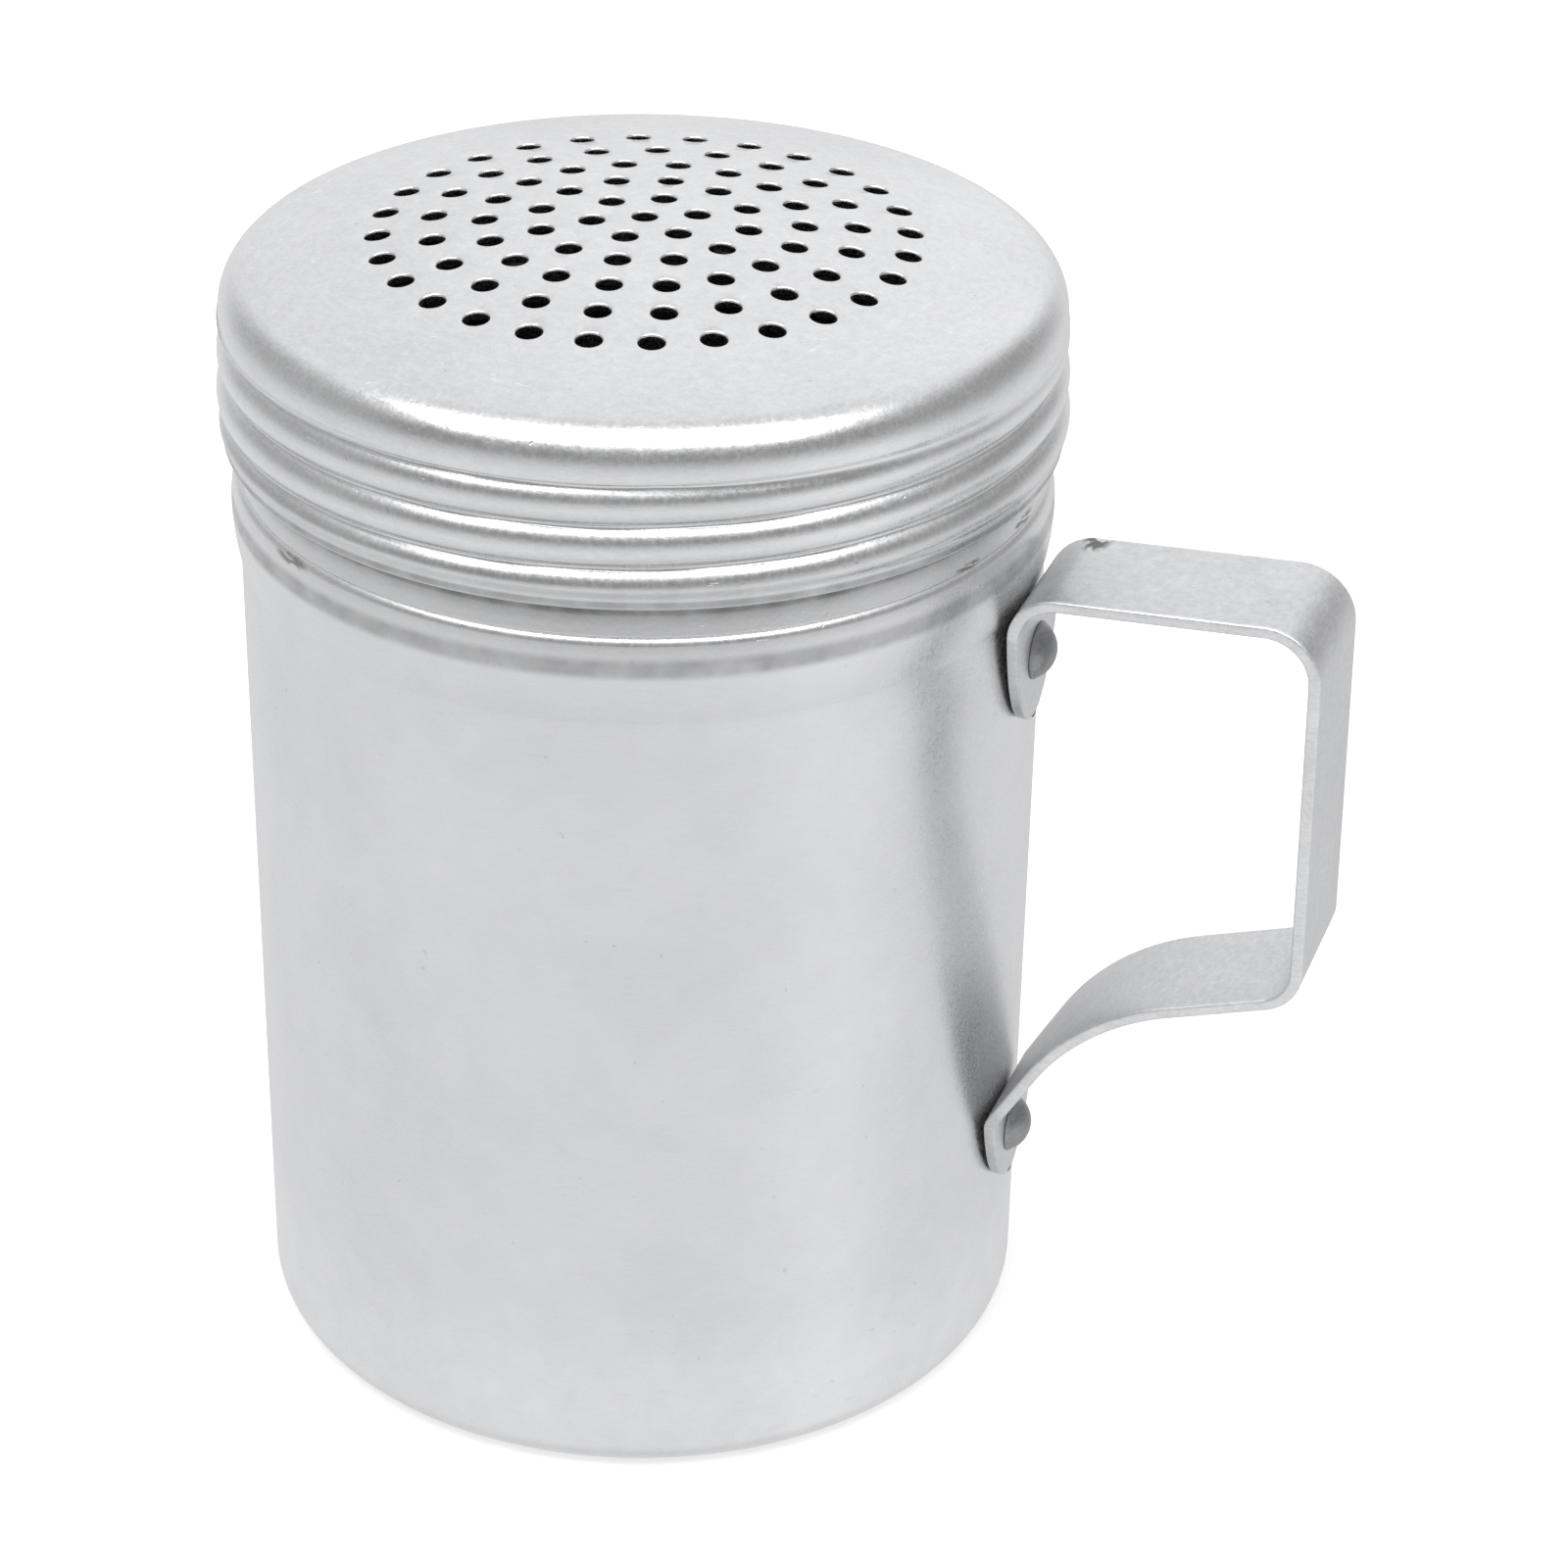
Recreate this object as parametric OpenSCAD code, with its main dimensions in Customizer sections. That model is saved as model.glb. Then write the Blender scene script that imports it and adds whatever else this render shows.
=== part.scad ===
// Spice shaker: a drawn aluminium cup, a screw-on lid with sprinkle holes
// and a strap handle held by two rivets.
// Millimetres. The cup stands on z = 0 and the handle points along +X.

/* [Cup] */
// Outside diameter of the straight wall
cup_d = 67; // [62:0.5:78]
// Height of the shoulder corner
shoulder_z = 80.3; // [79:0.1:84]
// Height of the neck above the shoulder corner
neck_h = 16; // [16:0.1:18]
// Thickness of the cup's wall and bottom
cup_wall = 0.9; // [0.8:0.05:1]
// Outside radius of the bottom edge
base_edge_r = 2.5; // [2:0.1:3.5]
// How far the shoulder bead stands proud of the wall
bead_out = 0.6; // [0.4:0.05:0.7]
// Height of the bead's lower slope
bead_rise = 4.8; // [4:0.1:6]
// Height of the bead's rounded top
bead_round = 3; // [2.5:0.1:3.5]
// Width of the flat ledge between the shoulder corner and the neck
ledge_w = 0.7; // [0.55:0.05:0.75]

/* [Screw thread] */
// Rise of the thread in one turn
pitch = 3.4; // [3.2:0.05:3.6]
// Height of the thread's crest on the handle's side, above the shoulder corner
crest_z = 11.5; // [11.3:0.05:11.8]
// Depth of the thread rolled in the neck
neck_depth = 0.65; // [0.5:0.05:0.7]
// Depth of the thread rolled in the lid's skirt
skirt_depth = 0.8; // [0.7:0.05:0.9]
// Room between the neck's groove and the inside of the skirt's middle line
skirt_gap = 0.8; // [0.75:0.05:0.9]
// How much further out the skirt stands at its lower edge than at its top
skirt_flare = 0.5; // [0.45:0.05:0.6]

/* [Lid] */
// Thickness of the lid
lid_wall = 0.7; // [0.65:0.05:0.8]
// Radius of the domed top
dome_r = 150; // [140:5:220]
// Outside radius of the rounded corner between top and skirt
corner_r = 3.6; // [3.4:0.1:3.9]
// How far that corner stands out over the skirt's top
corner_out = 0.4; // [0.3:0.05:0.5]
// Room between the rim of the cup and the lid
seat_gap = 0.4; // [0.3:0.05:0.6]
// Open gap between the shoulder corner and the lid's lower edge
edge_gap = 2.7; // [2.6:0.1:2.9]
// Thickness of the folded hem inside the lid's lower edge
hem_wall = 0.35; // [0.3:0.05:0.4]
// Room between the hem and the skirt around it
hem_gap = 0.15; // [0.12:0.01:0.2]

/* [Sprinkle holes] */
// Diameter of each hole
hole_d = 2.1; // [1.5:0.1:2.4]
// Distance from one ring of holes to the next
ring_pitch = 4.3; // [3.8:0.1:4.6]

/* [Handle] */
// Width of the strap
strap_w = 12.6; // [10:0.2:16]
// Thickness of the strap
strap_t = 1; // [0.8:0.05:1.2]
// Room between the strap and the cup's wall
strap_gap = 0.05; // [0.03:0.01:0.1]
// Distance from the cup's wall to the outside of the grip
handle_reach = 26.6; // [24:0.2:34]
// How far the lower end of the grip stands further out than the upper end
grip_lean = 0.8; // [0:0.1:1.5]
// Height of the top arm at the wall, above the foot of the shoulder bead
arm_over = 2.95; // [2:0.05:3.1]
// How much the top arm climbs on its way out
arm_climb = 1.5; // [0.5:0.1:3]
// Height of the grip's lower corner
grip_low_z = 43.5; // [41:0.1:46]
// How much the lower arm drops on its way in
lower_drop = 7.1; // [5:0.1:7.5]
// Lean of the lower arm above its tab, from upright
lower_lean = 30; // [17:0.5:31]
// Distance from the top arm down to the upper rivet
rivet_drop = 7.2; // [7.1:0.1:9]
// Height of the lower rivet
lower_rivet_z = 21.5; // [18:0.1:22]
// How far the strap's upper end reaches past its rivet
upper_lap = 6.2; // [5.4:0.1:7]
// How far the strap's lower end reaches past its rivet
lower_lap = 5; // [4.6:0.1:7]
// Height over which the strap narrows to each round end
tab_taper = 14; // [8:0.5:14]

/* [Rivets] */
// Diameter of a rivet's shank
shank_d = 3.2; // [2.6:0.1:3.6]
// Room around the shank in its holes, on the diameter
shank_gap = 0.1; // [0.05:0.01:0.2]
// Diameter of the domed head
head_d = 4.9; // [4.4:0.1:6.6]
// Height of the domed head
head_h = 1.6; // [1.3:0.1:2.4]
// Diameter of the closed head inside the cup
tail_d = 5; // [4.4:0.1:6]
// Thickness of the closed head inside the cup
tail_h = 1.2; // [1:0.1:1.6]
// Room between each head and what it clamps
clamp_gap = 0.03; // [0.02:0.01:0.05]

/* [Hidden] */
$fn = 96;

// Cup
cup_r = cup_d / 2;
bead_z = shoulder_z - bead_round;
bead_foot_z = bead_z - bead_rise;
rim_z = shoulder_z + neck_h;
// The neck's groove, and the plain wall just under it
neck_r = cup_r - 0.9;
proud = 0.15;
neck_wall_r = neck_r - proud;
neck_in_r = neck_wall_r - cup_wall + 0.1;
corner_shoulder_r = neck_wall_r + ledge_w + 0.15;
rim_round = 0.35;
arm_z = bead_foot_z + arm_over;
upper_rivet_z = arm_z - rivet_drop;

// Lid: the skirt's middle line, and the corner's centre over the rim
skirt_in_r = neck_r + skirt_gap;
skirt_r = skirt_in_r + lid_wall;
corner_x = skirt_r + corner_out - corner_r;
rim_touch_r = neck_wall_r - rim_round;
inner_corner_r = corner_r - lid_wall;
corner_z = rim_z + seat_gap
    - sqrt(pow(inner_corner_r, 2) - pow(rim_touch_r - corner_x, 2));
dome_z = corner_z - sqrt(pow(dome_r - corner_r, 2) - pow(corner_x, 2));
dome_end = asin(corner_x / (dome_r - corner_r));
lid_low_z = shoulder_z + edge_gap;

// Thread: where it fades out in the skirt and in the neck
crest_at = shoulder_z + crest_z;
fade = 1;
skirt_low_z = lid_low_z + 0.7;
skirt_start = skirt_low_z + 0.2;
skirt_high_z = corner_z - 0.5;
neck_low_z = shoulder_z + 3.6;
neck_high_z = rim_z - 2;
levels = 6;
around = 40;

// Hem, inside the skirt's plain lower band
band_in_r = skirt_in_r + skirt_flare;
band_r = band_in_r + lid_wall;
band_round = 0.45;
hem_in_r = band_in_r - hem_gap - hem_wall;
lip_h = 0.2;
hem_z = lid_low_z + 0.35;
hem_h = 0.5;

// Handle: the lower tab stays flat just past its rivet's head, then bends away
tab_bend = 2;
head_clear = 0.1;
tab_reach = 10;
lower_tab_z = lower_rivet_z + head_d / 2 + head_clear + tab_bend * tan(lower_lean / 2);

// Handle: corners of the strap's middle line, and its bend radii
strap_x = cup_r + strap_gap + strap_t / 2;
grip_x = cup_r + handle_reach - strap_t / 2 - grip_lean;
// The strap starts to leave the wall a little under the foot of the shoulder bead
arm_leave = 0.6;
arm_bend = (arm_over + arm_leave) / tan((90 - atan(arm_climb / (grip_x - strap_x))) / 2);
arm_slope = lower_drop / handle_reach * 1.25;
lower_run = (grip_low_z - lower_tab_z - arm_slope * (grip_x + grip_lean - strap_x))
    / (1 / tan(lower_lean) - arm_slope);
bends = [
    [strap_x, upper_rivet_z - upper_lap, 0],
    [strap_x, arm_z, arm_bend],
    [grip_x, arm_z + arm_climb, 4.2],
    [grip_x + grip_lean, grip_low_z, 3.5],
    [strap_x + lower_run, lower_tab_z + lower_run / tan(lower_lean), 21],
    [strap_x, lower_tab_z, tab_bend],
    [strap_x, lower_rivet_z - lower_lap, 0]
];
strap_out_x = strap_x + strap_t / 2;

// Colours
aluminium = [0.80, 0.81, 0.82];
rivet_grey = [0.55, 0.56, 0.58];

// Points of an arc from angle a to angle b.
function arc(x, z, r, a, b, n = 10) =
    [for (i = [0:n]) [x + r * cos(a + (b - a) * i / n), z + r * sin(a + (b - a) * i / n)]];

// 0 below a, 1 above b, smooth between.
function ease(x, a, b) =
    let (t = min(1, max(0, (x - a) / (b - a)))) t * t * (3 - 2 * t);

// The screw's wave, 1 on the crest and -1 in the groove, on a right-hand helix.
function wave(angle, z) = cos(360 * (z - crest_at) / pitch - angle);

// Tube whose outer and inner radius are functions of angle and height.
module wave_tube(low, high, outer, inner) {
    rows = ceil((high - low) / (pitch / levels));
    zs = [for (i = [0:rows]) low + (high - low) * i / rows];
    function ring(f, z) = [for (j = [0:around - 1])
        let (a = 360 * j / around) [f(a, z) * cos(a), f(a, z) * sin(a), z]];
    outside = [for (z = zs) each ring(outer, z)];
    inside = [for (z = zs) each ring(inner, z)];
    count = len(outside);
    function at(i, j) = i * around + j % around;
    polyhedron(
        points = concat(outside, inside),
        faces = [
            for (i = [0:rows - 1]) for (j = [0:around - 1])
                each [[at(i, j), at(i + 1, j), at(i + 1, j + 1)],
                      [at(i, j), at(i + 1, j + 1), at(i, j + 1)]],
            for (i = [0:rows - 1]) for (j = [0:around - 1])
                each [[count + at(i, j), count + at(i + 1, j + 1), count + at(i + 1, j)],
                      [count + at(i, j), count + at(i, j + 1), count + at(i + 1, j + 1)]],
            for (j = [0:around - 1])
                each [[at(0, j), at(0, j + 1), count + at(0, j + 1)],
                      [at(0, j), count + at(0, j + 1), count + at(0, j)],
                      [at(rows, j), count + at(rows, j + 1), at(rows, j + 1)],
                      [at(rows, j), count + at(rows, j), count + at(rows, j + 1)]]
        ]
    );
}

// Radius of an arc that leaves the bead's widest line upright and goes in by d over a height h.
function bead_arc(d, h) = (d * d + h * h) / (2 * d);

// The cup's side from the foot of the bead up to the shoulder corner, moved in by off.
function bead_side(off) =
    let (
        in = cup_r + bead_out - corner_shoulder_r,
        low = bead_arc(bead_out, bead_rise),
        high = bead_arc(in, bead_round),
        low_a = asin(bead_rise / low),
        high_a = asin(bead_round / high),
        r = cup_r + bead_out
    )
    concat(
        [for (k = [6:-1:0]) let (a = low_a * k / 6)
            [r - low + (low - off) * cos(a) - (k == 6 ? off * (1 - cos(low_a)) : 0), bead_z - low * sin(a)]],
        [for (k = [1:6]) let (a = high_a * k / 6)
            [r - high + (high - off) * cos(a), bead_z + (high - off) * sin(a)]]
    );

module cup() {
    outer = concat(
        [[0, 0]],
        arc(cup_r - base_edge_r, base_edge_r, base_edge_r, -90, 0),
        bead_side(0),
        [[neck_wall_r, shoulder_z + 0.15]],
        arc(neck_wall_r - rim_round, rim_z - rim_round, rim_round, 0, 90, 5)
    );
    inner = concat(
        [[neck_in_r, rim_z], [neck_in_r, shoulder_z - cup_wall + 0.15]],
        [for (p = bead_side(cup_wall)) p],
        []
    );
    inner_low = arc(cup_r - base_edge_r, base_edge_r, base_edge_r - cup_wall, 0, -90);
    color(aluminium)
    difference() {
        union() {
            rotate_extrude()
                polygon(concat(
                    outer,
                    [inner[0], inner[1]],
                    [for (i = [len(bead_side(cup_wall)) - 1:-1:0]) bead_side(cup_wall)[i]],
                    inner_low,
                    [[0, cup_wall]]
                ));
            wave_tube(
                neck_low_z, neck_high_z,
                function (a, z)
                    let (on = ease(z, neck_low_z, neck_low_z + fade)
                            * (1 - ease(z, neck_high_z - fade, neck_high_z)))
                    neck_wall_r - 0.1
                        + on * (proud + 0.1 + neck_depth * (1 + wave(a, z)) / 2),
                function (a, z) neck_wall_r - 0.4
            );
        }
        for (z = [upper_rivet_z, lower_rivet_z])
            translate([0, 0, z])
                rotate([0, 90, 0])
                    cylinder(d = shank_d + shank_gap, h = cup_r + 5);
    }
}

// Rings of holes: how many, and the angle of the first.
hole_rings = [[1, 0], [6, 30], [12, 37], [18, 19], [21, 5], [28, 10]];

module holes() {
    for (i = [0:len(hole_rings) - 1])
        for (k = [0:hole_rings[i][0] - 1])
            rotate([0, 0, hole_rings[i][1] + 360 * k / hole_rings[i][0]])
                translate([i * ring_pitch, 0, corner_z])
                    cylinder(d = hole_d, h = 3 * corner_r);
}

module lid() {
    join_z = skirt_high_z;
    join_a = asin((join_z - corner_z) / corner_r);
    join_in_a = asin((join_z - corner_z) / inner_corner_r);
    top = concat(
        [[0, dome_z + dome_r]],
        [for (i = [1:8]) let (a = dome_end * i / 8)
            [dome_r * sin(a), dome_z + dome_r * cos(a)]],
        arc(corner_x, corner_z, corner_r, 90 - dome_end, join_a),
        arc(corner_x, corner_z, inner_corner_r, join_in_a, 90 - dome_end),
        [for (i = [8:-1:1]) let (a = dome_end * i / 8)
            [(dome_r - lid_wall) * sin(a), dome_z + (dome_r - lid_wall) * cos(a)]],
        [[0, dome_z + dome_r - lid_wall]]
    );
    band = concat(
        [[band_r, skirt_low_z]],
        arc(band_r - band_round, lid_low_z + band_round, band_round, 0, -90, 6),
        [[hem_in_r + 0.1, lid_low_z], [hem_in_r + 0.1, lid_low_z + lip_h],
         [band_in_r, lid_low_z + lip_h], [band_in_r, skirt_low_z]]
    );
    low = lid_low_z + 0.3;
    high = skirt_high_z + 0.5;
    color(aluminium)
    difference() {
        union() {
            rotate_extrude()
                polygon(top);
            rotate_extrude()
                polygon(band);
            wave_tube(
                low, high,
                function (a, z) skirt_line(z)
                    + skirt_half(z) + skirt_on(z) * skirt_depth / 2 * wave(a, z),
                function (a, z) skirt_line(z)
                    - skirt_half(z) + skirt_on(z) * skirt_depth / 2 * wave(a, z)
            );
        }
        holes();
    }
}

// The skirt's middle line, half its thickness and the strength of its thread. Its ends
// are thinner, where they sit inside the band and the corner.
function skirt_line(z) =
    skirt_in_r + lid_wall / 2
        + skirt_flare * min(1, max(0, (skirt_high_z - z) / (skirt_high_z - skirt_low_z)))
        + (corner_out - 0.02) * ease(z, skirt_high_z - fade, skirt_high_z);
function skirt_half(z) =
    lid_wall / 2 - 0.18 * (1 - ease(z, skirt_low_z, skirt_low_z + 0.3)
        * (1 - ease(z, skirt_high_z - 0.3, skirt_high_z)));
function skirt_on(z) =
    ease(z, skirt_start, skirt_start + 0.5) * (1 - ease(z, skirt_high_z - fade, skirt_high_z));

module lid_hem() {
    color(aluminium)
    rotate_extrude()
        translate([hem_in_r, hem_z])
            square([hem_wall, hem_h]);
}

// A path's point i with its bend: the points of the arc that rounds it.
function unit(v) = v / norm(v);
function rounded(path, i) =
    i == 0 || i == len(path) - 1
    ? [[path[i][0], path[i][1]]]
    : let (
        p = [path[i][0], path[i][1]],
        u = unit([path[i - 1][0], path[i - 1][1]] - p),
        v = unit([path[i + 1][0], path[i + 1][1]] - p),
        half = acos(u * v) / 2,
        r = path[i][2],
        centre = p + unit(u + v) * r / sin(half),
        start = p + u * r / tan(half) - centre,
        side = cross([u[0], u[1]], [v[0], v[1]]) > 0 ? -1 : 1,
        sweep = (180 - 2 * half) * side
    )
    [for (k = [0:12]) let (a = sweep * k / 12)
        centre + [start[0] * cos(a) + start[1] * sin(a) * -1,
                  start[0] * sin(a) + start[1] * cos(a)]];
function strap_path() = [for (i = [0:len(bends) - 1]) each rounded(bends, i)];
function side_at(path, i, off) =
    let (
        a = path[max(0, i - 1)],
        b = path[min(len(path) - 1, i + 1)],
        d = unit(b - a)
    )
    path[i] + [-d[1], d[0]] * off;

// Narrows the strap to a half oval over its last stretch, with the tip at height z.
module tab_end(z) {
    size = strap_w + 2;
    difference() {
        translate([strap_x - strap_t, -size / 2, z - 1])
            cube([tab_reach, size, tab_taper + 1]);
        translate([strap_x - strap_t - 1, 0, z + tab_taper])
            rotate([0, 90, 0])
                scale([2 * tab_taper / strap_w, 1, 1])
                    cylinder(d = strap_w, h = tab_reach + 2);
    }
}

module handle() {
    path = strap_path();
    n = len(path);
    color(aluminium)
    difference() {
        translate([0, strap_w / 2, 0])
            rotate([90, 0, 0])
                linear_extrude(strap_w)
                    polygon(concat(
                        [for (i = [0:n - 1]) side_at(path, i, strap_t / 2)],
                        [for (i = [n - 1:-1:0]) side_at(path, i, -strap_t / 2)]
                    ));
        tab_end(upper_rivet_z - upper_lap);
        tab_end(lower_rivet_z - lower_lap);
        for (z = [upper_rivet_z, lower_rivet_z])
            translate([0, 0, z])
                rotate([0, 90, 0])
                    cylinder(d = shank_d + shank_gap, h = strap_x + strap_t);
    }
}

// A rivet at height z: domed head on the strap, closed head inside the cup.
module rivet(z) {
    cap_r = (pow(head_d / 2, 2) + pow(head_h, 2)) / (2 * head_h);
    cap_a = asin(head_d / 2 / cap_r);
    head_x = strap_out_x + clamp_gap;
    wall_in = cup_r - cup_wall - clamp_gap;
    color(rivet_grey)
    translate([0, 0, z])
    union() {
        translate([head_x, 0, 0])
            rotate([0, 90, 0])
                rotate_extrude()
                    polygon(concat(
                        [[0, 0]],
                        [for (i = [8:-1:1]) let (a = cap_a * i / 8)
                            [cap_r * sin(a), head_h - cap_r + cap_r * cos(a)]],
                        [[0, head_h]]
                    ));
        translate([wall_in - tail_h / 2, 0, 0])
            rotate([0, 90, 0])
                cylinder(d = shank_d, h = head_x - wall_in + tail_h / 2 + 0.2);
        intersection() {
            translate([wall_in - tail_h, 0, 0])
                rotate([0, 90, 0])
                    cylinder(d = tail_d, h = tail_h + 1);
            translate([0, 0, -tail_d])
                cylinder(r = wall_in, h = 2 * tail_d);
        }
    }
}

module upper_rivet() {
    rivet(upper_rivet_z);
}

module lower_rivet() {
    rivet(lower_rivet_z);
}

cup();
lid();
lid_hem();
handle();
upper_rivet();
lower_rivet();
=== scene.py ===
from math import asin, atan, cos, degrees, pi, radians, sin, sqrt, tan

import bpy
import bmesh
from mathutils import Matrix, Vector


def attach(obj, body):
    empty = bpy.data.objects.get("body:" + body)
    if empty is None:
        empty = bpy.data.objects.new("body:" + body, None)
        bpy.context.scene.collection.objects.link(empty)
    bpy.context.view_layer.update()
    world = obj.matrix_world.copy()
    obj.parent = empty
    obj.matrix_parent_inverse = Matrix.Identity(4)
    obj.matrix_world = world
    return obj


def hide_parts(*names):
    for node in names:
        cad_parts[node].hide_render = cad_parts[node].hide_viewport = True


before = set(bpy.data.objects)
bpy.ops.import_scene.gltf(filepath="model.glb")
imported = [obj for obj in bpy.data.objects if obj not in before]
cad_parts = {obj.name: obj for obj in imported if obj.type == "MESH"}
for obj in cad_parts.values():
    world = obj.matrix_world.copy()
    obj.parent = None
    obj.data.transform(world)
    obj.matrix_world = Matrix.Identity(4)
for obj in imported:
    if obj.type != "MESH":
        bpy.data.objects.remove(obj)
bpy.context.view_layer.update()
mm = 0.001

# ---- Camera -------------------------------------------------------------------------------
# A long lens a little over arm's length away, looking down on the lid. The handle points
# to the right of the picture and a little towards the viewer.

handle_turn = radians(21.42)
eye_out, eye_up = 316.39 * mm, 229.39 * mm
eye_tilt, eye_pan, eye_roll = radians(29.763), radians(2.193), radians(-1.154)
lens, sensor = 96.61, 36.0

ahead = Vector((sin(eye_pan) * cos(eye_tilt), cos(eye_pan) * cos(eye_tilt), -sin(eye_tilt)))
level = Vector((cos(eye_pan), -sin(eye_pan), 0))
down = ahead.cross(level)
right = cos(eye_roll) * level + sin(eye_roll) * down
up = sin(eye_roll) * level - cos(eye_roll) * down
looks = Matrix((right, up, -ahead)).transposed().to_4x4()

camera_data = bpy.data.cameras.new("camera")
camera_data.lens, camera_data.sensor_width = lens, sensor
camera_data.clip_start = 0.01
camera = bpy.data.objects.new("camera", camera_data)
eye_place = Matrix.Translation((0, -eye_out, eye_up))
camera.matrix_world = Matrix.Rotation(handle_turn, 4, "Z") @ eye_place @ looks
bpy.context.scene.collection.objects.link(camera)
bpy.context.scene.camera = camera

# ---- Studio -------------------------------------------------------------------------------
# A pale floor in a large room, under one wide soft lamp high in front. The camera sees the
# room as plain white, while the metal mirrors it as soft greys from the floor up.

bpy.context.scene.view_settings.view_transform = "Standard"

# Greys that the metal mirrors in front of the cup, behind it and at either side, each with
# its height: 0 is straight down, 0.5 is level and 1 is straight up.
front_greys = ((0.0, 0.62), (0.08, 0.74), (0.19, 0.80), (0.29, 0.79), (0.45, 0.68), (0.56, 0.48),
               (0.63, 0.30), (0.76, 0.28), (0.84, 0.54), (0.90, 0.80), (1.0, 0.68))
back_greys = ((0.0, 0.72), (0.20, 0.72), (0.45, 0.76), (0.60, 0.88), (0.76, 0.92), (0.86, 0.88),
              (0.93, 0.72), (1.0, 0.68))
left_greys = ((0.0, 0.72), (0.25, 0.78), (0.42, 0.68), (0.52, 0.50), (0.62, 0.42), (0.74, 0.42),
              (0.83, 0.58), (0.92, 0.76), (1.0, 0.70))
right_greys = ((0.0, 0.72), (0.25, 0.78), (0.42, 0.64), (0.52, 0.44), (0.62, 0.34), (0.74, 0.32),
               (0.83, 0.48), (0.92, 0.72), (1.0, 0.70))
behind_left_grey, low_right_grey = (0.80, 0.80, 0.81, 1), (0.87, 0.87, 0.88, 1)
room_grey, room_white = (0.85, 0.85, 0.85, 1), (1, 1, 1, 1)
to_viewer = Vector((sin(handle_turn), -cos(handle_turn), 0))
to_right = Vector((cos(handle_turn), sin(handle_turn), 0))

room = bpy.data.worlds.new("room")
room.use_nodes = True
bpy.context.scene.world = room
sky = room.node_tree
sky.nodes.clear()


def add_node(tree, kind, inputs=None, **settings):
    # A node with its settings; each input is joined to another node's output or holds a value.
    node = tree.nodes.new(kind)
    for name, setting in settings.items():
        setattr(node, name, setting)
    for socket, value in (inputs or {}).items():
        if isinstance(value, bpy.types.NodeSocket):
            tree.links.new(value, node.inputs[socket])
        else:
            node.inputs[socket].default_value = value
    return node


def calculate(tree, operation, *values):
    return add_node(tree, "ShaderNodeMath", dict(enumerate(values)), operation=operation).outputs[0]


def rise(tree, value, low, high, curve="SMOOTHSTEP"):
    # 0 at low and 1 at high, and level beyond them.
    ends = {"Value": value, "From Min": low, "From Max": high}
    return add_node(tree, "ShaderNodeMapRange", ends, interpolation_type=curve).outputs[0]


direction = add_node(sky, "ShaderNodeTexCoord").outputs["Generated"]


def facing(way):
    # How far a direction turns to the given one, from -1 to 1.
    dot = add_node(sky, "ShaderNodeVectorMath", {0: direction, 1: way}, operation="DOT_PRODUCT")
    return dot.outputs["Value"]


def greys(stops, height):
    # The mirrored greys as a ramp over the height, very slightly blue.
    ramp = add_node(sky, "ShaderNodeValToRGB", {0: height})
    while len(ramp.color_ramp.elements) < len(stops):
        ramp.color_ramp.elements.new(0.5)
    for stop, (at, grey) in zip(ramp.color_ramp.elements, stops):
        stop.position, stop.color = at, (grey, grey, grey * 1.01, 1)
    return ramp.outputs["Color"]


def mixed(share, first, second):
    # The first colour where share is 0 and the second where it is 1.
    colours = {"Factor": share, "A": first, "B": second}
    return add_node(sky, "ShaderNodeMix", colours, data_type="RGBA").outputs["Result"]


def overlap(*shares):
    # 1 where every share is 1, and 0 where any of them is 0.
    whole = shares[0]
    for share in shares[1:]:
        whole = calculate(sky, "MULTIPLY", whole, share)
    return whole


height = rise(sky, facing((0, 0, 1)), -1, 1, "LINEAR")
viewer_side, right_side = facing(to_viewer), facing(to_right)
either_side = calculate(sky, "ABSOLUTE", right_side)
walls = mixed(rise(sky, viewer_side, -0.35, 0.35), greys(back_greys, height), greys(front_greys, height))
behind_left = overlap(rise(sky, right_side, 0.05, -0.3), rise(sky, viewer_side, -0.5, -0.75))
walls = mixed(behind_left, walls, behind_left_grey)
low_right = overlap(rise(sky, right_side, 0.4, 0.7), rise(sky, viewer_side, -0.1, 0.3),
                    rise(sky, height, 0.5, 0.35))
walls = mixed(low_right, walls, low_right_grey)
sides = mixed(rise(sky, right_side, -0.2, 0.2), greys(left_greys, height), greys(right_greys, height))
beside = overlap(rise(sky, either_side, 0.45, 0.8), rise(sky, viewer_side, 0.45, 0.0))
walls = mixed(beside, walls, sides)
seen = add_node(sky, "ShaderNodeLightPath")
walls = mixed(seen.outputs["Is Diffuse Ray"], walls, room_grey)
walls = mixed(seen.outputs["Is Camera Ray"], walls, room_white)
glow = add_node(sky, "ShaderNodeBackground", {"Color": walls})
add_node(sky, "ShaderNodeOutputWorld", {"Surface": glow.outputs[0]})


def new_material(name):
    material = bpy.data.materials.new(name)
    material.use_nodes = True
    material.node_tree.nodes.clear()
    return material


# The floor glows a little for the camera alone, and isn't mirrored in the metal.
floor_reach, floor_grey, floor_lift = 3, (0.8, 0.8, 0.8, 1), 0.38

floor_material = new_material("pale_floor")
paint = floor_material.node_tree
seen = add_node(paint, "ShaderNodeLightPath")
lift = calculate(paint, "MULTIPLY", seen.outputs["Is Camera Ray"], floor_lift)
paper = add_node(paint, "ShaderNodeBsdfDiffuse", {"Color": floor_grey})
shine = add_node(paint, "ShaderNodeEmission", {"Strength": lift})
both = add_node(paint, "ShaderNodeAddShader", {0: paper.outputs[0], 1: shine.outputs[0]})
add_node(paint, "ShaderNodeOutputMaterial", {"Surface": both.outputs[0]})

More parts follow.
